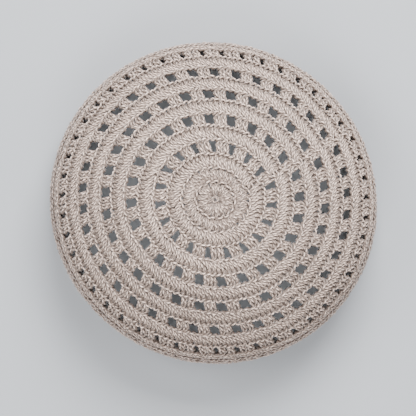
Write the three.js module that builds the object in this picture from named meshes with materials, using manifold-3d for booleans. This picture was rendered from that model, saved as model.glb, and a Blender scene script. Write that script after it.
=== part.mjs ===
import * as THREE from 'three';
import { mergeVertices } from 'three/addons/utils/BufferGeometryUtils.js';
import Module from 'manifold-3d';

// A round crocheted cap: an openwork crown, a side band worked even and a firm rim edging.
// Millimetres, Z up. The origin is on the ground under the middle of the cap, and Y runs front to back.

// Driving dimensions of the whole cap.
const capLength = 192.5;
const capWidth = 187.5;
const capHeight = 86;
const crownOval = 1.04; // how much longer the middle of the crown is drawn than the rim's oval

// Driving dimensions of the crocheted fabric.
const fabricThickness = 2.8;
const openworkRecess = 0.5; // plain rounds swell this much above the eyelet rounds beside them
const eyeletWidth = 5.3;
const eyeletHeight = 5.2;
const seamStep = 3; // a round ends this much further down than it began
const seamAngle = -43; // degrees about Z, where the first round begins
const seamDrift = 0.6; // degrees by which each later round begins further on

// Driving dimensions of the rim and of the fit between pieces.
const edgingHeight = 5;
const edgingThickness = 3.2;
const edgingRounding = 1;
const pieceGap = 0.3;

// Fineness of the facets.
const sidesAround = 60;
const seamTaperAfter = 35; // degrees over which the step at the seam fades after it
const seamTaperBefore = 20;

// The rounds from the middle outwards. tall is a round's height as a share of an ordinary round's, slope
// is how steeply it falls in degrees, eyelets counts its gaps, and open is a gap's width as a share of
// eyeletWidth. Rounds with work: 'openwork' are the thinner ones with gaps between pairs of posts.
const crownRounds = [
  { work: 'plain', tall: 1.3, slope: 2, eyelets: 0, open: 0 },
  { work: 'plain', tall: 1, slope: 4, eyelets: 0, open: 0 },
  { work: 'plain', tall: 1, slope: 7, eyelets: 0, open: 0 },
  { work: 'openwork', tall: 1, slope: 10, eyelets: 19, open: 0.62 },
  { work: 'plain', tall: 1, slope: 14, eyelets: 0, open: 0 },
  { work: 'openwork', tall: 1, slope: 20, eyelets: 24, open: 1 },
  { work: 'plain', tall: 1, slope: 27, eyelets: 0, open: 0 },
  { work: 'openwork', tall: 1, slope: 32, eyelets: 30, open: 0.98 },
  { work: 'plain', tall: 1, slope: 35, eyelets: 0, open: 0 },
  { work: 'openwork', tall: 1, slope: 37, eyelets: 38, open: 0.92 },
  { work: 'plain', tall: 1, slope: 41, eyelets: 0, open: 0 },
];
const bandRounds = [
  { work: 'openwork', tall: 1, slope: 52 },
  { work: 'plain', tall: 1, slope: 69 },
  { work: 'openwork', tall: 1, slope: 79 },
  { work: 'plain', tall: 1, slope: 85 },
  { work: 'openwork', tall: 1, slope: 90 },
  { work: 'plain', tall: 1, slope: 93 },
];
const rounds = [...crownRounds, ...bandRounds];

// One eyelet seen from outside: across is a share of its width and along a share of its height, from the
// narrower side towards the middle of the crown to the wider side towards the rim.
const eyeletOutline = [
  { across: -0.4, along: -0.5 },
  { across: 0.4, along: -0.5 },
  { across: 0.5, along: 0.5 },
  { across: -0.5, along: 0.5 },
];

// Lays the rounds end to end from the middle of the crown: each goes outwards by the cosine of its slope
// and down by the sine. The widest reach and the whole drop are then fitted to the cap's size.
function layRounds() {
  const ends = [new THREE.Vector2(0, 0)];
  for (const { tall, slope } of rounds) {
    const fall = THREE.MathUtils.degToRad(slope);
    const step = new THREE.Vector2(Math.cos(fall), Math.sin(fall)).multiplyScalar(tall);
    ends.push(ends[ends.length - 1].clone().add(step));
  }
  const widest = Math.max(...ends.map((end) => end.x));
  const drop = ends[ends.length - 1].y;
  const reach = (capLength + capWidth) / 4 - fabricThickness / 2;
  const fall = capHeight - edgingHeight - fabricThickness / 2;
  return ends.map((end) => new THREE.Vector2((end.x / widest) * reach, edgingHeight + fall * (1 - end.y / drop)));
}

const roundEnds = layRounds();
const meridian = new THREE.SplineCurve(roundEnds);

// The middle of the fabric at a place counted in rounds from the middle of the crown, with the direction
// out of the fabric there. x is the distance from the axis and y the height.
function fabricAt(place) {
  const share = place / rounds.length;
  const point = meridian.getPoint(share);
  const along = meridian.getTangent(share);
  const outward = place === 0 ? new THREE.Vector2(0, 1) : new THREE.Vector2(-along.y, along.x);
  return { point, along, outward };
}

// A point of the profile, offset from the middle of the fabric: positive is outwards.
function offsetPoint(place, offset) {
  const { point, outward } = fabricAt(place);
  return point.clone().addScaledVector(outward, offset);
}

// How far one millimetre along the fabric goes, counted in rounds, at a given place.
function roundsPerMillimetre(place) {
  const index = Math.min(Math.floor(place), rounds.length - 1);
  return 1 / roundEnds[index].distanceTo(roundEnds[index + 1]);
}

// The inner side of the fabric between two places, smooth, from the crown's middle towards the rim.
function innerSide(from, to) {
  const half = fabricThickness / 2;
  const points = [offsetPoint(from, -half)];
  for (let round = Math.floor(from) + 1; round < to; round += 1) {
    points.push(offsetPoint(round, -half));
  }
  points.push(offsetPoint(to, -half));
  return points;
}

// The outer side of the fabric between two places, in the other direction. A plain round swells in its
// middle, and an eyelet round is flat.
function outerSide(from, to) {
  const half = fabricThickness / 2;
  const points = [offsetPoint(to, half - openworkRecess)];
  for (let round = Math.ceil(to) - 1; round + 1 > from; round -= 1) {
    const start = Math.max(round, from);
    if (rounds[round].work === 'plain') {
      points.push(offsetPoint(round + 0.5, half));
    }
    points.push(offsetPoint(start, start === 0 ? half : half - openworkRecess));
  }
  return points;
}

// Turns a geometry into a solid for cutting. Corners that meet are merged, and triangles that have lost a
// side at the axis are dropped.
const cutter = await Module();
cutter.setup();

function toSolid(geometry) {
  geometry.deleteAttribute('normal');
  geometry.deleteAttribute('uv');
  const merged = mergeVertices(geometry, 1e-4);
  const corners = merged.index.array;
  const kept = [];
  for (let i = 0; i < corners.length; i += 3) {
    const [a, b, c] = corners.slice(i, i + 3);
    if (a !== b && b !== c && c !== a) {
      kept.push(a, b, c);
    }
  }
  return new cutter.Manifold(new cutter.Mesh({
    numProp: 3,
    vertProperties: new Float32Array(merged.attributes.position.array),
    triVerts: new Uint32Array(kept),
  }));
}

// Revolves a closed profile about Z.
function revolve(profile) {
  const geometry = new THREE.LatheGeometry(profile, sidesAround);
  geometry.rotateX(Math.PI / 2);
  return toSolid(geometry);
}

// Draws the round form out to the cap's oval, which the widest part of the side band then fills. The
// middle of the crown is drawn out a little more than the rim.
const roundSize = 2 * Math.max(...outerSide(crownRounds.length, rounds.length).map((corner) => corner.x));

function drawOut(solid) {
  const mesh = solid.getMesh();
  const position = new Float32Array(mesh.vertProperties);
  for (let i = 0; i < position.length; i += 3) {
    const reach = Math.hypot(position[i], position[i + 1]) / (roundSize / 2);
    const extra = Math.sqrt(1 + (crownOval - 1) * Math.max(0, 1 - reach));
    position[i] *= capWidth / roundSize / extra;
    position[i + 1] *= (capLength / roundSize) * extra;
  }
  const geometry = new THREE.BufferGeometry();
  geometry.setAttribute('position', new THREE.BufferAttribute(position, 3));
  geometry.setIndex(new THREE.BufferAttribute(new Uint32Array(mesh.triVerts), 1));
  geometry.computeVertexNormals();
  return geometry;
}

// How much further down than its round's middle the work lies, in millimetres, at an angle past the seam.
function seamShift(pastSeam) {
  const after = Math.exp(-pastSeam / seamTaperAfter);
  const before = Math.exp(-(360 - pastSeam) / seamTaperBefore);
  return (seamStep / 2) * (before - after);
}

// The cutting prism of one eyelet, square to the fabric.
function eyeletPrism(place, angle, width) {
  const outline = eyeletOutline.map(({ across, along }) => new THREE.Vector2(across * width, along * eyeletHeight));
  const depth = 2 * fabricThickness;
  const prism = new THREE.ExtrudeGeometry(new THREE.Shape(outline), { depth, bevelEnabled: false });
  prism.translate(0, 0, -depth / 2);
  const { point, along, outward } = fabricAt(place);
  const sideways = new THREE.Vector3(0, -1, 0);
  const down = new THREE.Vector3(along.x, 0, along.y);
  const out = new THREE.Vector3(outward.x, 0, outward.y);
  const seat = new THREE.Matrix4().makeBasis(sideways, down, out).setPosition(point.x, 0, point.y);
  prism.applyMatrix4(seat);
  prism.rotateZ(THREE.MathUtils.degToRad(angle));
  return toSolid(prism);
}

// Cuts a round's eyelets, each in the middle of its repeat, counted from the seam.
function cutEyelets(solid, index) {
  const { eyelets, open } = crownRounds[index];
  const middle = index + 0.5;
  const repeat = 360 / eyelets;
  let cut = solid;
  for (let i = 0; i < eyelets; i += 1) {
    const pastSeam = (i + 0.5) * repeat;
    const place = middle + seamShift(pastSeam) * roundsPerMillimetre(middle);
    const angle = seamAngle + seamDrift * middle + pastSeam;
    cut = cut.subtract(eyeletPrism(place, angle, eyeletWidth * open));
  }
  return cut;
}

const cotton = { color: 0xcbbfb8, roughness: 0.85, metalness: 0 };

function namedMesh(name, solid) {
  const mesh = new THREE.Mesh(drawOut(solid), new THREE.MeshStandardMaterial(cotton));
  mesh.name = name;
  return mesh;
}

// The domed crown, closed at its middle, with its eyelets cut through.
function makeCrown() {
  const end = crownRounds.length - (pieceGap / 2) * roundsPerMillimetre(crownRounds.length);
  const profile = [...innerSide(0, end), ...outerSide(0, end)];
  let crown = revolve(profile);
  crownRounds.forEach((round, index) => {
    if (round.eyelets > 0) {
      crown = cutEyelets(crown, index);
    }
  });
  return namedMesh('crown', crown);
}

// The side band, from the crown's edge down to the edging.
function makeSideBand() {
  const start = crownRounds.length + (pieceGap / 2) * roundsPerMillimetre(crownRounds.length);
  const end = rounds.length;
  const profile = [...innerSide(start, end), ...outerSide(start, end)];
  profile.push(profile[0].clone());
  return namedMesh('side_band', revolve(profile));
}

// The rim edging: an upright ring under the band, rounded outside, with a flat foot.
function makeRimEdging() {
  const middle = roundEnds[roundEnds.length - 1].x;
  const inner = middle - edgingThickness / 2;
  const outer = middle + edgingThickness / 2;
  const top = edgingHeight - pieceGap;
  const profile = [
    new THREE.Vector2(inner, 0),
    new THREE.Vector2(outer - edgingRounding, 0),
    new THREE.Vector2(outer, edgingRounding),
    new THREE.Vector2(outer, top - edgingRounding),
    new THREE.Vector2(outer - edgingRounding, top),
    new THREE.Vector2(inner, top),
    new THREE.Vector2(inner, 0),
  ];
  return namedMesh('rim_edging', revolve(profile));
}

const kufi = new THREE.Group();
kufi.add(makeCrown(), makeSideBand(), makeRimEdging());

export default kufi;
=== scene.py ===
"""A crocheted kufi cap: each round is one length of twisted cotton yarn, laid stitch by stitch."""
import math
from collections import namedtuple

import bpy
import numpy as np
from mathutils import Matrix, Vector


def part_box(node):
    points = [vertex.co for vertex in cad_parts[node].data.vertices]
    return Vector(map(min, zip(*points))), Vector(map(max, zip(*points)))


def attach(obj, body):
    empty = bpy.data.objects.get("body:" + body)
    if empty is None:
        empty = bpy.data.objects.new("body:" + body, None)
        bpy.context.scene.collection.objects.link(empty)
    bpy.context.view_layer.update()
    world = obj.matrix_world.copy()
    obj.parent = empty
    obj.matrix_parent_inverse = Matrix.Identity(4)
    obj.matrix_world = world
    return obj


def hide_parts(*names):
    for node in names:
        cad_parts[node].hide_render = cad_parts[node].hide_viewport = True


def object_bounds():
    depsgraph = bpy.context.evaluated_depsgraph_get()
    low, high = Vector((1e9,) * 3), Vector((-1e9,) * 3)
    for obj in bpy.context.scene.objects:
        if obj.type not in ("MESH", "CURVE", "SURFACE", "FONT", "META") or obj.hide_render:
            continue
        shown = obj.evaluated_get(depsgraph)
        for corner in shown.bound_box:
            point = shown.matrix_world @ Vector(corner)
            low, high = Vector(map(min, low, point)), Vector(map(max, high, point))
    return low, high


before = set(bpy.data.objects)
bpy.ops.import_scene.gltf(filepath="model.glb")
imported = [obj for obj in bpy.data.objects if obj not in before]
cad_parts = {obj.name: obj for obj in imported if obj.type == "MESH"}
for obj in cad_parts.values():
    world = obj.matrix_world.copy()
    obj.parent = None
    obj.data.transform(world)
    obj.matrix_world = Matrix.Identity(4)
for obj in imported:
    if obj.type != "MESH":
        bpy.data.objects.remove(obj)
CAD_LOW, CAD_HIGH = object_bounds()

bl_info = {
    "name": "Crocheted kufi",
    "version": (1, 0, 0),
    "blender": (4, 5, 0),
    "location": "3D View > Sidebar > Kufi",
    "description": "Crochets a kufi cap round by round in twisted cotton yarn",
    "category": "Add Mesh",
}

MM = 0.001
FULL_TURN = 2 * math.pi

# The fabric's form. The lowest strands of the rim keep clear of the floor. MEAN_REACH is half the cap's
# width and length on average. A stitch's width is taken no nearer the middle than NEAREST_MIDDLE rounds.
HALF_FABRIC = 1.4 * MM
RIM_CLEARANCE = 0.85 * MM
MEAN_REACH = (CAD_HIGH.x + CAD_HIGH.y) / 2
NEAREST_MIDDLE = 0.2

# The step at the seam fades over this many degrees after and before it. It grows over the first rounds and
# fades out over the last.
FADE_AFTER_SEAM = 35
FADE_BEFORE_SEAM = 20
SEAM_GROWS_OVER = 3
SEAM_FADES_OVER = 1.5

# The rounds of the crown and side, from the middle outwards. tall is a round's height as a share of an
# ordinary round's, slope is how steeply it falls in degrees, lean is by how many stitches the top of a post
# is ahead of its foot, and wide is how wide the posts of the openwork are as a share of ordinary ones.
Round = namedtuple("Round", "name work node stitches tall slope lean wide", defaults=[1.0])
ROUNDS = (
    Round("centre_round_1", "centre", "crown", 15, 1.3, 2, 0.2),
    Round("centre_round_2", "centre", "crown", 30, 1.0, 4, 1.0),
    Round("centre_round_3", "plain", "crown", 60, 1.0, 7, 1.8),
    Round("eyelet_round_1", "openwork", "crown", 76, 1.0, 10, 0.12),
    Round("plain_round_1", "plain", "crown", 96, 1.0, 14, 2.25),
    Round("eyelet_round_2", "openwork", "crown", 96, 1.0, 20, 0.12),
    Round("plain_round_2", "plain", "crown", 120, 1.0, 27, 2.25),
    Round("eyelet_round_3", "openwork", "crown", 120, 1.0, 32, 0.12),
    Round("plain_round_3", "plain", "crown", 152, 1.0, 35, 2.25),
    Round("eyelet_round_4", "openwork", "crown", 152, 1.0, 37, 0.12),
    Round("plain_round_4", "plain", "crown", 188, 1.0, 41, 2.25),
    Round("eyelet_round_5", "openwork", "side_band", 188, 1.0, 52, 0.12, 1.3),
    Round("plain_round_5", "plain", "side_band", 188, 1.0, 69, 2.25),
    Round("eyelet_round_6", "openwork", "side_band", 188, 1.0, 79, 0.12, 1.22),
    Round("plain_round_6", "plain", "side_band", 188, 1.0, 85, 2.25),
    Round("eyelet_round_7", "openwork", "side_band", 188, 1.0, 90, 0.12, 1.22),
    Round("plain_round_7", "plain", "side_band", 188, 1.0, 93, 1.1),
)
EDGING_ROUNDS = (
    Round("edging_round_1", "edging", "rim_edging", 188, 1.0, 90, 0.3),
    Round("edging_round_2", "edging", "rim_edging", 188, 1.0, 90, 0.3),
)
ALL_ROUNDS = ROUNDS + EDGING_ROUNDS

# The yarn's way through a stitch. along is in stitches round the cap, up is a share of the round's height
# and out is in strands out of the fabric: the front of the cap is at plus.
Way = namedtuple("Way", "along up out")

# A double crochet goes down the back, under the chain below, up the front, over, and the same again.
POST_WAY = (
    Way(0.26, 0.82, -0.50),
    Way(0.22, 0.42, -0.62),
    Way(0.12, 0.13, -0.28),
    Way(-0.02, 0.00, 0.10),
    Way(-0.04, 0.10, 0.75),
    Way(0.00, 0.32, 0.98),
    Way(0.07, 0.56, 0.84),
    Way(0.08, 0.86, 0.28),
    Way(0.34, 1.00, -0.10),
    Way(0.78, 0.94, -0.10),
    Way(0.78, 0.56, -0.22),
    Way(0.70, 0.22, -0.45),
    Way(0.50, 0.03, -0.20),
    Way(0.48, 0.12, 0.30),
    Way(0.46, 0.32, 0.56),
    Way(0.42, 0.56, 0.56),
    Way(0.41, 0.84, 0.26),
)

# A double crochet beside a gap, whose wrap slants across its front.
OPEN_POST_WAY = (
    Way(0.30, 0.80, -0.25),
    Way(0.27, 0.40, -0.02),
    Way(0.27, 0.10, 0.08),
    Way(0.08, -0.02, -0.20),
    Way(0.00, 0.15, 0.25),
    Way(0.00, 0.40, 0.60),
    Way(0.04, 0.66, 0.70),
    Way(0.12, 0.88, 0.25),
    Way(0.34, 0.96, -0.15),
    Way(0.58, 0.80, -0.35),
    Way(0.72, 0.60, 0.15),
    Way(0.55, 0.48, 0.90),
    Way(0.22, 0.29, 1.02),
    Way(-0.12, 0.12, 0.55),
    Way(-0.02, 0.00, -0.35),
    Way(0.34, -0.02, -0.30),
    Way(0.52, 0.06, 0.15),
    Way(0.55, 0.24, 0.50),
    Way(0.54, 0.50, 0.46),
    Way(0.50, 0.84, 0.28),
)

# A double crochet in the crown's middle, where stitches widen fast: three strands up the front and a wrap.
WIDE_POST_WAY = (
    Way(0.14, 0.82, -0.45),
    Way(0.16, 0.04, -0.50),
    Way(-0.02, 0.12, 0.18),
    Way(0.00, 0.42, 0.72),
    Way(0.02, 0.82, 0.28),
    Way(0.18, 0.94, -0.05),
    Way(0.48, 0.40, -0.55),
    Way(0.34, -0.05, -0.25),
    Way(0.31, 0.12, 0.15),
    Way(0.33, 0.50, 0.50),
    Way(0.35, 0.82, 0.25),
    Way(0.50, 0.94, -0.05),
    Way(0.76, 0.70, 0.80),
    Way(0.46, 0.50, 1.10),
    Way(0.08, 0.32, 0.80),
    Way(0.14, 0.34, -0.45),
    Way(0.84, 0.82, -0.30),
    Way(0.82, 0.40, -0.55),
    Way(0.68, -0.05, -0.25),
    Way(0.64, 0.10, 0.15),
    Way(0.66, 0.42, 0.66),
    Way(0.62, 0.82, 0.28),
)

# A short firm stitch of the rim.
SHORT_POST_WAY = (
    Way(0.15, 0.70, -0.45),
    Way(0.10, -0.05, -0.40),
    Way(0.05, -0.05, 0.30),
    Way(0.15, 0.35, 0.55),
    Way(0.45, 0.72, 0.50),
)

# The top of a stitch, which lies along the round as a link of its chain, and a link of the chain over a
# gap.
LOOP_WAY = (
    Way(0.52, 1.02, 0.75),
    Way(0.80, 1.05, 1.10),
    Way(1.18, 0.97, 1.12),
    Way(1.50, 0.88, 0.60),
    Way(1.50, 0.92, -0.12),
    Way(1.26, 1.02, -0.48),
)
CHAIN_WAY = (
    Way(0.46, 0.97, 0.45),
    Way(0.78, 1.01, 0.90),
    Way(1.18, 0.95, 0.92),
    Way(1.50, 0.92, 0.50),
    Way(1.50, 0.98, -0.10),
    Way(1.22, 1.04, -0.35),
)

# The middle of a post and of a loop, in stitches along its way. A post leans up to BEND, a share of the
# round's height. Its foot takes FOOT_LEAN of the lean backwards, and its top the rest forwards.
POST_MIDDLE = 0.25
LOOP_MIDDLE = 0.25
BEND = 0.55
FOOT_LEAN = 0.6

# The stitches of one repeat of each kind of work. A loop sits at loop_at, counted in stitches from the
# start of the repeat, and a post at post_at, moved by its side of the gap: 1 is after it and -1 before.
Stitch = namedtuple("Stitch", "post loop loop_at post_at side")
REPEATS = {
    "centre": (Stitch(WIDE_POST_WAY, LOOP_WAY, 0, 0, 0),),
    "plain": (Stitch(POST_WAY, LOOP_WAY, 0, 0, 0),),
    "openwork": (
        Stitch(OPEN_POST_WAY, LOOP_WAY, 0, 0, 1),
        Stitch((), CHAIN_WAY, 1, 0, 0),
        Stitch((), CHAIN_WAY, 2, 0, 0),
        Stitch(OPEN_POST_WAY, LOOP_WAY, 3, 4, -1),
    ),
    "edging": (Stitch(SHORT_POST_WAY, LOOP_WAY, 0, 0, 0),),
}

# How far whole stitches and their single points stray, as shares of the hand's wander. In the first round
# the feet start at FIRST_FOOT, as a share of the round's height, and up to FIRST_FOOT_SPREAD further out.
# The seeds of the rounds count on from FIRST_SEED.
STITCH_STRAY = Way(1.0, 0.4, 1.0)
POINT_STRAY = Way(0.8, 0.4, 1.5)
FIRST_FOOT = 0.13
FIRST_FOOT_SPREAD = 0.3
FIRST_SEED = 100

# The yarn's thickness in each kind of work, as a share of its own. Near the crown's middle it is squeezed
# in step with its distance from the axis, down to SQUEEZED_LEAST. It swells and thins in waves of these
# lengths, in samples.
LOFT = {"centre": 0.95, "plain": 0.98, "openwork": 1.12, "edging": 1.0}
SQUEEZED_WITHIN = 5 * MM
SQUEEZED_LEAST = 0.55
SWELL_LENGTHS = (9, 23, 61)

# How finely the yarn is laid. OVERLYING is how much more squarely a strand is taken to face out for each
# strand's thickness that it stands out, so that the painted shade is darker on strands that lie beneath
# others. STEEP is how much of a strand's direction may be up and down before its frame starts from X and no
# longer from Z.
SAMPLES_PER_POINT = 1.5
STRAND_SIDES = 6
OVERLYING = 0.5
STEEP = 0.8

# The start ring: turns of yarn that waver in and out by RING_WAVER, and up and down by RING_RISE strands.
# Its thickness is RING_THICKNESS of the yarn's own, and it is shaded as if it stood RING_LIFT strands out.
RING_TURNS = 2
RING_SAMPLES = 64
RING_RADIUS = 1.5 * MM
RING_WAVER = 0.3 * MM
RING_RISE = 0.35
RING_THICKNESS = 0.9
RING_LIFT = 0.5

# The cotton's finish and its painted shade. A Span stretches a value between low and high to one between
# new_low and new_high. GROOVE reads the height of a ply, for the painted shade in the grooves between
# plies, and LIT how squarely the yarn faces out, for the painted shade on the strands' sides and on strands
# that lie beneath others. CREST_SHARPNESS keeps the light colour to the tops of the crests. The others read
# the clouds over the cap and the fibres along the plies.
Span = namedtuple("Span", "low high new_low new_high")
CLOUDS = {"Scale": 45.0, "Detail": 3.0}
FIBRES = {"Scale": 0.7, "Detail": 4.0, "Roughness": 0.65}
GROOVE = Span(0.1, 0.85, 0.0, 1.0)
LIT = Span(0.52, 1.4, 0.1, 1.0)
CLOUD_TONE = Span(0.3, 0.7, 0.94, 1.05)
FIBRE_TONE = Span(0.3, 0.7, 0.46, 1.42)
FIBRE_ROUGHNESS = Span(0.3, 0.7, 0.3, 0.5)
CREST_SHARPNESS = 2.1
FIBRE_RELIEF = 0.35
SOFT_SHEEN = {"Sheen Weight": 0.3, "Sheen Roughness": 0.45, "Specular IOR Level": 0.5}

# The soft lights round the cap, all square and as far from its middle. turn is in degrees anticlockwise
# from what is upwards in the picture, rise in degrees from the floor, and power a share of the panel's.
Lamp = namedtuple("Lamp", "name turn rise power")
LAMPS = (
    Lamp("key_light", -14, 46, 1.0),
    Lamp("fill_left", 80, 50, 0.95),
    Lamp("fill_right", -100, 50, 0.4),
    Lamp("fill_near", 172, 50, 1.25),
)
LAMP_DISTANCE = 1.2
LAMP_SIZE = 0.7
FLOOR_REACH = 1.5
FLOOR_ROUGHNESS = 0.9

# The camera. The photograph is PHOTO_SIDE pixels wide, and the crown's top lies CROWN_RIGHT pixels right of
# its middle and CROWN_UP above it. SENSOR_WIDTH is in millimetres and FARTHEST_SEEN in metres.
PHOTO_SIDE = 416
CROWN_RIGHT, CROWN_UP = 7.4, 8.3
SENSOR_WIDTH = 36
FARTHEST_SEEN = 20


class KufiYarnSettings(bpy.types.PropertyGroup):
    """The yarn, its finish and the colour of its painted shade."""

    strand: bpy.props.FloatProperty(
        name="Strand", description="Thickness of the yarn",
        default=1.45 * MM, min=0.5 * MM, max=3 * MM, unit="LENGTH")
    unevenness: bpy.props.FloatProperty(
        name="Unevenness", description="How much the yarn swells and thins, as a share of its thickness",
        default=0.07, min=0, max=0.3)
    plies: bpy.props.IntProperty(
        name="Plies", description="Threads twisted together in the yarn",
        default=3, min=2, max=6)
    ply_twist: bpy.props.FloatProperty(
        name="Ply twist", description="Length of yarn over which the plies make one full turn",
        default=7.6 * MM, min=1 * MM, max=20 * MM, unit="LENGTH")
    ply_relief: bpy.props.FloatProperty(
        name="Ply relief", description="Depth of the grooves between plies",
        default=0.33 * MM, min=0, max=1 * MM, unit="LENGTH")
    light_colour: bpy.props.FloatVectorProperty(
        name="Light colour", description="Cotton on the crests of the plies",
        default=(0.97, 0.74, 0.62), min=0, max=1, size=3, subtype="COLOR")
    # Painted shade: the colour that the grooves between plies, the strands' sides and strands beneath
    # others are darkened towards, in place of the shade that falls there.
    painted_shade_colour: bpy.props.FloatVectorProperty(
        name="Deep colour", description="Cotton in the grooves between plies",
        default=(0.15, 0.105, 0.083), min=0, max=1, size=3, subtype="COLOR")


class KufiStitchSettings(bpy.types.PropertyGroup):
    """How the stitches stand and where the rounds begin."""

    crown_oval: bpy.props.FloatProperty(
        name="Crown oval",
        description="How much longer the middle of the crown is drawn than the rim's oval",
        default=1.04, min=1, max=1.2)
    post_width: bpy.props.FloatProperty(
        name="Post width", description="Room that one post takes in the openwork",
        default=3.85 * MM, min=1 * MM, max=6 * MM, unit="LENGTH")
    post_apart: bpy.props.FloatProperty(
        name="Posts apart", description="From the middle of a pair of posts to the middle of each",
        default=1.73 * MM, min=0.5 * MM, max=4 * MM, unit="LENGTH")
    seam_angle: bpy.props.FloatProperty(
        name="Seam angle", description="Where the rounds begin at the crown's middle",
        default=math.radians(-43), subtype="ANGLE")
    seam_drift: bpy.props.FloatProperty(
        name="Seam drift", description="Angle by which each later round begins further on",
        default=math.radians(0.6), subtype="ANGLE")
    seam_step: bpy.props.FloatProperty(
        name="Seam step", description="How much further down a round ends than it began",
        default=3 * MM, min=0, max=8 * MM, unit="LENGTH")
    hand_wander: bpy.props.FloatProperty(
        name="Hand wander",
        description="How far stitches stray at most from their places, as a share of a stitch",
        default=0.09, min=0, max=0.3)


class KufiStageSettings(bpy.types.PropertyGroup):
    """The floor, lights and camera."""

    floor_colour: bpy.props.FloatVectorProperty(
        name="Floor", description="Colour of the floor",
        default=(0.337, 0.351, 0.373), min=0, max=1, size=3, subtype="COLOR")
    camera_height: bpy.props.FloatProperty(
        name="Camera height", description="From the top of the crown to the camera",
        default=1.2, min=0.3, max=5, unit="LENGTH")
    picture_width: bpy.props.FloatProperty(
        name="Picture width", description="What the picture takes in at the height of the crown's top",
        default=233.3 * MM, min=0.1, max=1, unit="LENGTH")
    camera_turn: bpy.props.FloatProperty(
        name="Camera turn", description="Angle about Z of what is upwards in the picture",
        default=math.radians(25.1), subtype="ANGLE")
    lean_down: bpy.props.FloatProperty(
        name="Lean down", description="How far the camera stands towards the picture's lower edge",
        default=math.radians(1.45), subtype="ANGLE")
    lean_left: bpy.props.FloatProperty(
        name="Lean left", description="How far the camera stands towards the picture's left edge",
        default=math.radians(0.8), subtype="ANGLE")
    key_power: bpy.props.FloatProperty(
        name="Key light", description="Power of the large soft light beyond the picture's upper edge",
        default=43.5, min=0, max=500, unit="POWER")
    fill_power: bpy.props.FloatProperty(
        name="Fill lights", description="Power of the soft light beyond each other edge of the picture",
        default=12.6, min=0, max=500, unit="POWER")
    sky_strength: bpy.props.FloatProperty(
        name="Sky", description="Strength of the even light all round",
        default=0.12, min=0, max=5)


SETTINGS = {
    "kufi_yarn": KufiYarnSettings,
    "kufi_stitch": KufiStitchSettings,
    "kufi_stage": KufiStageSettings,
}


def catmull_rom(points, at, closed):
    """Places on the smooth curve through a row of points. at counts spans: between two points the curve is
    the cubic that leaves each along half the line from its neighbour before to its neighbour after."""
    count = len(points)
    span = np.floor(at).astype(int)
    t = (at - span)[:, None]
    near = span[:, None] + np.arange(-1, 3)
    near = near % count if closed else np.clip(near, 0, count - 1)
    a, b, c, d = np.moveaxis(points[near], 1, 0)
    return 0.5 * (2 * b + (c - a) * t + (2 * a - 5 * b + 4 * c - d) * t**2 + (3 * (b - c) + d - a) * t**3)


def lay_rounds():
    """The ends of all rounds as (reach, height) in metres. Each round goes outwards by the cosine of its
    slope and down by the sine. The whole is fitted to the cap's size, and the edging goes straight down."""
    edging_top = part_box("side_band")[0].z
    slope = np.radians([r.slope for r in ROUNDS])
    tall = np.array([r.tall for r in ROUNDS])
    reach = np.cumsum(tall * np.cos(slope))
    drop = np.cumsum(tall * np.sin(slope))
    reach *= (MEAN_REACH - HALF_FABRIC) / reach.max()
    top = CAD_HIGH.z - HALF_FABRIC
    height = top - (top - edging_top) * drop / drop[-1]
    edging = np.linspace(edging_top, RIM_CLEARANCE, len(EDGING_ROUNDS) + 1)[1:]
    return np.vstack([[0, top], np.c_[reach, height], np.c_[np.full(len(edging), reach[-1]), edging]])


class CapForm:
    """The middle of the cap's fabric as a surface of two values: place, in rounds from the crown's middle,
    and angle about Z. Its half section is the smooth curve through the round ends, drawn out to the cap's
    oval. The last sample is taken a hair short of the end, so that it still lies between two round ends."""

    samples_per_round = 40
    hair = 1e-9

    def __init__(self, stitch):
        ends = lay_rounds()
        rounds = len(ends) - 1
        self.stitch = stitch
        self.places = np.linspace(0, rounds, rounds * self.samples_per_round + 1)
        inside = np.minimum(self.places, rounds - self.hair)
        section = catmull_rom(ends, inside, closed=False)
        along = np.gradient(section, self.places, axis=0)
        self.height_of_round = np.linalg.norm(along, axis=1)
        along /= self.height_of_round[:, None]
        self.reach, self.height = section.T
        self.out_reach, self.out_height = -along[:, 1], along[:, 0]

    def at(self, values, place):
        """A value of the half section at each place, straight between its samples."""
        return np.interp(place, self.places, values)

    def point(self, place, angle, lift):
        """Places on the cap in metres: out from the axis to the half section, lift along its normal, turned
        about Z, then drawn out along Y and in along X, more in the crown's middle."""
        reach = self.at(self.reach, place) + lift * self.at(self.out_reach, place)
        height = self.at(self.height, place) + lift * self.at(self.out_height, place)
        extra = np.sqrt(1 + (self.stitch.crown_oval - 1) * np.maximum(0, 1 - reach / MEAN_REACH))
        x = reach * np.cos(angle) * CAD_HIGH.x / MEAN_REACH / extra
        y = reach * np.sin(angle) * CAD_HIGH.y / MEAN_REACH * extra
        return np.c_[x, y, height]


def seam_shift(past_seam, step):
    """How much further down the work lies, in metres, at a share of the turn past the seam: half the step
    before the seam and minus half after it, fading away from it on both sides."""
    after = np.exp(-past_seam * 360 / FADE_AFTER_SEAM)
    before = np.exp(-(1 - past_seam) * 360 / FADE_BEFORE_SEAM)
    return step / 2 * (before - after)


def repeat_ways(form, index):
    """The control points of one repeat: rows of (stitches from its start, share of the round's height,
    strands out). Posts of the openwork keep their width in millimetres. A post leans up to its bend, and is
    upright from there."""
    item = ALL_ROUNDS[index]
    rows = []
    for stitch in REPEATS[item.work]:
        for way in stitch.post:
            reach = form.at(form.reach, max(index + way.up, NEAREST_MIDDLE))
            pitch = FULL_TURN * reach / item.stitches
            spread = form.stitch.post_width * item.wide / pitch if stitch.side else 1
            apart = stitch.side * form.stitch.post_apart * item.wide / pitch
            along = stitch.post_at + apart + (way.along - POST_MIDDLE) * spread
            leaned = min(max(way.up / BEND, 0), 1) - FOOT_LEAN
            rows.append((along + item.lean * leaned, way.up, way.out))
        for way in stitch.loop:
            along = stitch.loop_at + way.along - LOOP_MIDDLE
            rows.append((along + item.lean * (1 - FOOT_LEAN), way.up, way.out))
    return np.array(rows)


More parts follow.
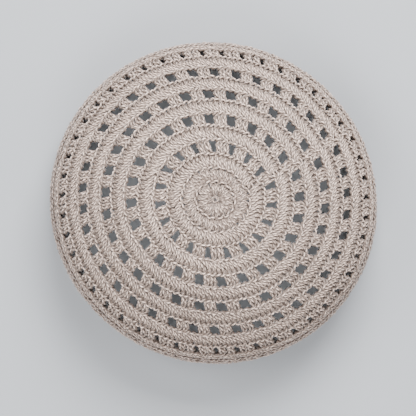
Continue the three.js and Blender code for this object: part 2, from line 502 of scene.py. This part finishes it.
def round_path(form, index, yarn, rng):
    """The closed centreline of a round's yarn, with the way out of the fabric and the lift along it. The
    control points of the repeat are copied round the cap, strayed a little, laid on the form and joined
    smoothly."""
    item = ALL_ROUNDS[index]
    ways = repeat_ways(form, index)
    starts = np.arange(0, item.stitches, len(REPEATS[item.work]))
    wander = form.stitch.hand_wander
    stitch_stray = rng.uniform(-wander, wander, (3, len(starts), 1))
    point_stray = rng.uniform(-wander, wander, (3, len(starts), len(ways)))
    along = starts[:, None] + ways[:, 0]
    along = along + STITCH_STRAY.along * stitch_stray[0] + POINT_STRAY.along * point_stray[0]
    up = ways[:, 1] + STITCH_STRAY.up * stitch_stray[1] + POINT_STRAY.up * point_stray[1]
    out = ways[:, 2] + STITCH_STRAY.out * stitch_stray[2] + POINT_STRAY.out * point_stray[2]
    if index == 0:
        foot = FIRST_FOOT + FIRST_FOOT_SPREAD * rng.random((len(starts), 1))
        up = foot + (1 - foot) * up
    turn = (along / item.stitches).ravel()
    place = index + up.ravel()
    tall = form.at(form.height_of_round, place)
    from_middle = np.clip(place / SEAM_GROWS_OVER, 0, 1)
    from_edging = np.clip((len(ROUNDS) - place) / SEAM_FADES_OVER, 0, 1)
    place = place + from_middle * from_edging * seam_shift(turn % 1, form.stitch.seam_step) / tall
    angle = form.stitch.seam_angle + form.stitch.seam_drift * place + FULL_TURN * turn
    lift = out.ravel() * yarn.strand
    control = form.point(place, angle, lift)
    outwards = form.point(place, angle, lift + MM) - control
    samples = int(len(control) * SAMPLES_PER_POINT)
    at = np.arange(samples) * len(control) / samples
    rows = catmull_rom(np.c_[control, outwards / MM, out.ravel()], at, closed=True)
    return rows[:, :3], rows[:, 3:6], rows[:, 6]


def along_frames(path):
    """Two directions square to a closed path at each point, turning as little as possible along it. A first
    guess is carried to the next point by the least turn, the angle to that point's own guess is summed
    along the path, and what is left over after the whole loop is shared out evenly."""
    tangent = np.roll(path, -1, axis=0) - np.roll(path, 1, axis=0)
    tangent /= np.linalg.norm(tangent, axis=1, keepdims=True)
    helper = np.where(np.abs(tangent[:, 2:]) < STEEP, [[0.0, 0.0, 1.0]], [[1.0, 0.0, 0.0]])
    side = np.cross(tangent, helper)
    side /= np.linalg.norm(side, axis=1, keepdims=True)
    ahead, side_ahead = np.roll(tangent, -1, axis=0), np.roll(side, -1, axis=0)
    share = np.sum(side * ahead, axis=1) / (1 + np.sum(tangent * ahead, axis=1))
    carried = side - share[:, None] * (tangent + ahead)
    sine = np.sum(np.cross(carried, side_ahead) * ahead, axis=1)
    turned = np.arctan2(sine, np.sum(carried * side_ahead, axis=1))
    total = np.concatenate([[0], np.cumsum(turned)])
    left_over = total[-1] - FULL_TURN * round(total[-1] / FULL_TURN)
    back = -(total[:-1] - left_over * np.arange(len(path)) / len(path))
    across = np.cross(tangent, side)
    first = side * np.cos(back)[:, None] + across * np.sin(back)[:, None]
    return first, np.cross(tangent, first)


def tube_map(path):
    """The UV map of a closed tube, for the four corners of each face: the millimetres along the yarn and
    the share of the turn round it."""
    step = np.linalg.norm(np.roll(path, -1, axis=0) - path, axis=1)
    length = np.concatenate([[0], np.cumsum(step)]) / MM
    start, end = length[:-1, None], length[1:, None]
    beside = np.arange(STRAND_SIDES)[None, :]
    low, high = beside / STRAND_SIDES, (beside + 1) / STRAND_SIDES
    along = np.stack(np.broadcast_arrays(start, start, end, end), axis=-1)
    round_it = np.stack(np.broadcast_arrays(low, high, high, low), axis=-1)
    return np.stack(np.broadcast_arrays(along, round_it), axis=-1)


def yarn_tube(name, path, outwards, lift, thickness):
    """A closed tube: at each point of the path a ring of that thickness, square to it, joined to the next
    ring. The attribute faces_out is how squarely a point faces out of the fabric, or into it below zero,
    and more so on strands that lie on top. The material paints shade from it: darker on the sides of the
    strands and on strands that lie beneath others, where shade falls."""
    first, second = along_frames(path)
    turn = np.arange(STRAND_SIDES) / STRAND_SIDES * FULL_TURN
    ring = first[:, None] * np.cos(turn)[None, :, None] + second[:, None] * np.sin(turn)[None, :, None]
    verts = path[:, None] + ring * (thickness / 2)[:, None, None]
    # facing and faces_out are the mask of the painted shade on the strands' sides and beneath them.
    facing = np.sum(ring * outwards[:, None], axis=-1)
    faces_out = facing + OVERLYING * lift[:, None] * np.abs(facing)
    here = np.arange(len(path))[:, None]
    beside = np.arange(STRAND_SIDES)[None, :]
    next_here, next_beside = (here + 1) % len(path), (beside + 1) % STRAND_SIDES
    corners = [(here, beside), (here, next_beside), (next_here, next_beside), (next_here, beside)]
    quads = np.stack([a * STRAND_SIDES + b for a, b in corners], axis=-1).reshape(-1, 4)
    piece = make_mesh(name, verts.reshape(-1, 3), quads, tube_map(path))
    layer = piece.data.attributes.new("faces_out", "FLOAT", "POINT")
    layer.data.foreach_set("value", faces_out.astype(np.float32).ravel())
    return piece


def make_mesh(name, verts, quads, uv):
    """Puts whole arrays into a smooth mesh object with a UV map named yarn."""
    mesh = bpy.data.meshes.new(name)
    mesh.vertices.add(len(verts))
    mesh.vertices.foreach_set("co", verts.astype(np.float32).ravel())
    mesh.loops.add(quads.size)
    mesh.loops.foreach_set("vertex_index", quads.astype(np.int32).ravel())
    mesh.polygons.add(len(quads))
    mesh.polygons.foreach_set("loop_start", np.arange(0, quads.size, 4, dtype=np.int32))
    mesh.polygons.foreach_set("use_smooth", np.ones(len(quads), dtype=bool))
    layer = mesh.uv_layers.new(name="yarn")
    layer.uv.foreach_set("vector", uv.astype(np.float32).ravel())
    mesh.update()
    mesh.validate()
    piece = bpy.data.objects.new(name, mesh)
    bpy.context.scene.collection.objects.link(piece)
    return piece


def uneven(count, rng, share):
    """A factor on the yarn's thickness along it: smooth waves of a few lengths, up to a share more or less
    than one."""
    t = np.arange(count)
    waves = np.zeros(count)
    for length in SWELL_LENGTHS:
        turns = max(1, round(count / length))
        waves += np.sin(FULL_TURN * (turns * t / count + rng.random()))
    return 1 + share * waves / len(SWELL_LENGTHS)


def add_node(tree, kind, inputs, **settings):
    """Adds a node, sets its properties, and fills its inputs from values or from other nodes' outputs."""
    node = tree.nodes.new(kind)
    for name, value in settings.items():
        setattr(node, name, value)
    for name, value in inputs.items():
        if isinstance(value, bpy.types.NodeSocket):
            tree.links.new(value, node.inputs[name])
        else:
            node.inputs[name].default_value = value
    return node


def reckon(tree, operation, *values):
    """The output of a Math node over values or other nodes' outputs."""
    return add_node(tree, "ShaderNodeMath", dict(enumerate(values)), operation=operation).outputs[0]


def stretch(tree, value, span):
    """The output of a Map Range node: a value between low and high, as one between new_low and new_high."""
    ends = {"From Min": span.low, "From Max": span.high, "To Min": span.new_low, "To Max": span.new_high}
    return add_node(tree, "ShaderNodeMapRange", {"Value": value, **ends}).outputs[0]


def cotton_colour(tree, yarn, ply, cloud, fibre):
    """The yarn's colour with painted shade: the cotton's own light colour on the crests of the plies where
    they face out of the fabric, mixed towards the painted shade colour in the grooves between them, on the
    strands' sides and below, with clouds of tone over the cap and flecks along the fibres."""
    faces_out = add_node(tree, "ShaderNodeAttribute", {}, attribute_name="faces_out").outputs["Fac"]
    # Painted shade: lit and crest darken the grooves, the strands' sides and strands beneath others.
    lit = stretch(tree, reckon(tree, "ABSOLUTE", faces_out), LIT)
    crest = reckon(tree, "MULTIPLY", stretch(tree, ply, GROOVE), lit)
    clear = reckon(tree, "POWER", crest, CREST_SHARPNESS)
    ends = {"A": (*yarn.painted_shade_colour, 1), "B": (*yarn.light_colour, 1)}
    shade = add_node(tree, "ShaderNodeMix", {"Factor": clear, **ends}, data_type="RGBA").outputs["Result"]
    tone = reckon(tree, "MULTIPLY", stretch(tree, cloud, CLOUD_TONE), stretch(tree, fibre, FIBRE_TONE))
    return add_node(tree, "ShaderNodeVectorMath", {0: shade, "Scale": tone}, operation="SCALE").outputs[0]


def cotton_yarn(yarn):
    """Twisted cotton: plies wind round the strand as slanted ridges, with painted shade in the grooves
    between them, with fine fibres along each ply, faint clouds of tone over the cap and a soft sheen."""
    material = bpy.data.materials.get("twisted_cotton")
    if material is not None:
        return material
    material = bpy.data.materials.new("twisted_cotton")
    material.use_nodes = True
    tree = material.node_tree
    tree.nodes.clear()
    uv = add_node(tree, "ShaderNodeUVMap", {}, uv_map="yarn")
    length, turn, _ = add_node(tree, "ShaderNodeSeparateXYZ", {0: uv.outputs[0]}).outputs
    twist = reckon(tree, "MULTIPLY", length, -yarn.plies / (yarn.ply_twist / MM))
    wound = reckon(tree, "MULTIPLY_ADD", turn, float(yarn.plies), twist)
    half_turns = reckon(tree, "MULTIPLY", wound, math.pi)
    ply = reckon(tree, "ABSOLUTE", reckon(tree, "SINE", half_turns))
    on_cap = add_node(tree, "ShaderNodeTexCoord", {}).outputs["Object"]
    cloud = add_node(tree, "ShaderNodeTexNoise", {"Vector": on_cap, **CLOUDS}).outputs[0]
    on_ply = add_node(tree, "ShaderNodeCombineXYZ", {0: length, 1: wound}).outputs[0]
    fibre = add_node(tree, "ShaderNodeTexNoise", {"Vector": on_ply, **FIBRES}).outputs[0]
    height = reckon(tree, "MULTIPLY_ADD", fibre, FIBRE_RELIEF, ply)
    relief = {"Strength": 1.0, "Distance": yarn.ply_relief, "Height": height}
    bump = add_node(tree, "ShaderNodeBump", relief)
    shader = add_node(tree, "ShaderNodeBsdfPrincipled", {
        "Base Color": cotton_colour(tree, yarn, ply, cloud, fibre),
        "Roughness": stretch(tree, fibre, FIBRE_ROUGHNESS),
        "Normal": bump.outputs[0],
        **SOFT_SHEEN,
    })
    add_node(tree, "ShaderNodeOutputMaterial", {"Surface": shader.outputs[0]})
    return material


def put_on_cap(piece, node, yarn):
    """Gives a finished piece its yarn, and has it ride on the cap in place of its solid."""
    piece.data.materials.append(cotton_yarn(yarn))
    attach(piece, "root")
    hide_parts(node)


def crochet_round(context, index):
    """Makes one round's yarn and puts it on the cap."""
    yarn, stitch = context.scene.kufi_yarn, context.scene.kufi_stitch
    rng = np.random.default_rng(FIRST_SEED + index)
    path, outwards, lift = round_path(CapForm(stitch), index, yarn, rng)
    squeezed = np.clip(np.hypot(path[:, 0], path[:, 1]) / SQUEEZED_WITHIN, SQUEEZED_LEAST, 1)
    item = ALL_ROUNDS[index]
    thickness = yarn.strand * LOFT[item.work] * squeezed * uneven(len(path), rng, yarn.unevenness)
    put_on_cap(yarn_tube(item.name, path, outwards, lift, thickness), item.node, yarn)


class KUFI_OT_start_ring(bpy.types.Operator):
    """Makes the small closed ring of yarn that the first round is worked into."""

    bl_idname = "kufi.start_ring"
    bl_label = "Start ring"

    def execute(self, context):
        yarn = context.scene.kufi_yarn
        form = CapForm(context.scene.kufi_stitch)
        t = np.arange(RING_SAMPLES) / RING_SAMPLES
        angle = FULL_TURN * RING_TURNS * t
        radius = RING_RADIUS + RING_WAVER * np.cos(FULL_TURN * t)
        rise = RING_RISE * yarn.strand * np.sin(FULL_TURN * t)
        first_round = slice(form.samples_per_round)
        place = np.interp(radius, form.reach[first_round], form.places[first_round])
        path = form.point(place, angle, rise)
        outwards = np.tile([0.0, 0.0, 1.0], (RING_SAMPLES, 1))
        lift = np.full(RING_SAMPLES, RING_LIFT)
        thickness = np.full(RING_SAMPLES, yarn.strand * RING_THICKNESS)
        put_on_cap(yarn_tube("start_ring", path, outwards, lift, thickness), "crown", yarn)
        return {"FINISHED"}


class KUFI_OT_plain_rounds(bpy.types.Operator):
    """Works the plain rounds, a double crochet in every stitch."""

    bl_idname = "kufi.plain_rounds"
    bl_label = "Plain rounds"

    def execute(self, context):
        for index, item in enumerate(ROUNDS):
            if item.work in ("centre", "plain"):
                crochet_round(context, index)
        return {"FINISHED"}


class KUFI_OT_openwork_rounds(bpy.types.Operator):
    """Works the eyelet rounds, pairs of double crochets with two chains between them."""

    bl_idname = "kufi.openwork_rounds"
    bl_label = "Openwork rounds"

    def execute(self, context):
        for index, item in enumerate(ROUNDS):
            if item.work == "openwork":
                crochet_round(context, index)
        return {"FINISHED"}


class KUFI_OT_rim_edging(bpy.types.Operator):
    """Works the short firm rounds of the rim."""

    bl_idname = "kufi.rim_edging"
    bl_label = "Rim edging"

    def execute(self, context):
        for index in range(len(ROUNDS), len(ALL_ROUNDS)):
            crochet_round(context, index)
        return {"FINISHED"}


def make_floor(stage):
    """A wide pale floor at the level that the rim rests on."""
    signs = np.array([(-1, -1, 0), (1, -1, 0), (1, 1, 0), (-1, 1, 0)])
    corners = FLOOR_REACH * signs
    floor = make_mesh("floor", corners, np.array([[0, 1, 2, 3]]), corners[None, :, :2])
    material = bpy.data.materials.new("studio_floor")
    material.use_nodes = True
    shader = material.node_tree.nodes["Principled BSDF"]
    shader.inputs["Base Color"].default_value = (*stage.floor_colour, 1)
    shader.inputs["Roughness"].default_value = FLOOR_ROUGHNESS
    floor.data.materials.append(material)


def area_light(name, place, aim, power):
    """A square soft light at a place, turned to what it lights."""
    light = bpy.data.lights.new(name, "AREA")
    light.size, light.energy = LAMP_SIZE, power
    lamp = bpy.data.objects.new(name, light)
    turned = (aim - place).to_track_quat("-Z", "Y").to_matrix()
    lamp.matrix_world = Matrix.Translation(place) @ turned.to_4x4()
    bpy.context.scene.collection.objects.link(lamp)


def make_lamps(stage):
    """The lamps round the cap, all aimed at its middle."""
    middle = Vector((0, 0, CAD_HIGH.z / 2))
    for lamp in LAMPS:
        turn, rise = stage.camera_turn + math.radians(lamp.turn), math.radians(lamp.rise)
        level = math.cos(rise)
        away = Vector((math.cos(turn) * level, math.sin(turn) * level, math.sin(rise)))
        power = stage.key_power if lamp.name == "key_light" else stage.fill_power
        area_light(lamp.name, middle + away * LAMP_DISTANCE, middle, power * lamp.power)


def make_sky(stage):
    """An even white light all round."""
    world = bpy.data.worlds.new("studio")
    world.use_nodes = True
    background = world.node_tree.nodes["Background"]
    background.inputs["Color"].default_value = (1, 1, 1, 1)
    background.inputs["Strength"].default_value = stage.sky_strength
    bpy.context.scene.world = world


def make_camera(stage):
    """A camera over the crown, leaning a little, that frames the cap as the photograph does."""
    up = Vector((math.cos(stage.camera_turn), math.sin(stage.camera_turn), 0))
    right = Vector((up.y, -up.x, 0))
    pixel = stage.picture_width / PHOTO_SIDE
    top = Vector((0, 0, CAD_HIGH.z))
    aim = top - right * (CROWN_RIGHT * pixel) - up * (CROWN_UP * pixel)
    leaning = up * math.tan(stage.lean_down) + right * math.tan(stage.lean_left)
    away = (Vector((0, 0, 1)) - leaning).normalized()
    across = up.cross(away).normalized()
    upright = away.cross(across)
    data = bpy.data.cameras.new("camera")
    data.sensor_width = SENSOR_WIDTH
    data.lens = SENSOR_WIDTH * stage.camera_height / stage.picture_width
    data.clip_end = FARTHEST_SEEN
    camera = bpy.data.objects.new("camera", data)
    axes = Matrix((across, upright, away)).transposed()
    camera.matrix_world = Matrix.Translation(aim + away * stage.camera_height) @ axes.to_4x4()
    bpy.context.scene.collection.objects.link(camera)
    bpy.context.scene.camera = camera


class KUFI_OT_stage(bpy.types.Operator):
    """Makes the floor, the soft studio light and the camera."""

    bl_idname = "kufi.stage"
    bl_label = "Stage"

    def execute(self, context):
        stage = context.scene.kufi_stage
        make_floor(stage)
        make_lamps(stage)
        make_sky(stage)
        make_camera(stage)
        return {"FINISHED"}


STEPS = (
    KUFI_OT_stage,
    KUFI_OT_start_ring,
    KUFI_OT_plain_rounds,
    KUFI_OT_openwork_rounds,
    KUFI_OT_rim_edging,
)


class KUFI_PT_panel(bpy.types.Panel):
    """Lists the cap's sizes and colours and the steps of making it."""

    bl_idname = "KUFI_PT_panel"
    bl_label = "Kufi"
    bl_space_type = "VIEW_3D"
    bl_region_type = "UI"
    bl_category = "Kufi"

    def draw(self, context):
        for group in SETTINGS:
            box = self.layout.box()
            settings = getattr(context.scene, group)
            for name in settings.bl_rna.properties.keys():
                if name not in ("rna_type", "name"):
                    box.prop(settings, name)
        for step in STEPS:
            self.layout.operator(step.bl_idname)


CLASSES = (*SETTINGS.values(), *STEPS, KUFI_PT_panel)


def register():
    """Registers the classes and hangs the settings on the scene."""
    for item in CLASSES:
        bpy.utils.register_class(item)
    for name, group in SETTINGS.items():
        setattr(bpy.types.Scene, name, bpy.props.PointerProperty(type=group))


def unregister():
    """Takes the settings and classes away again."""
    for name in SETTINGS:
        delattr(bpy.types.Scene, name)
    for item in reversed(CLASSES):
        bpy.utils.unregister_class(item)


def main():
    """Makes the stage and the cap."""
    register()
    bpy.ops.kufi.stage()
    bpy.ops.kufi.start_ring()
    bpy.ops.kufi.plain_rounds()
    bpy.ops.kufi.openwork_rounds()
    bpy.ops.kufi.rim_edging()


if __name__ == "__main__":
    main()
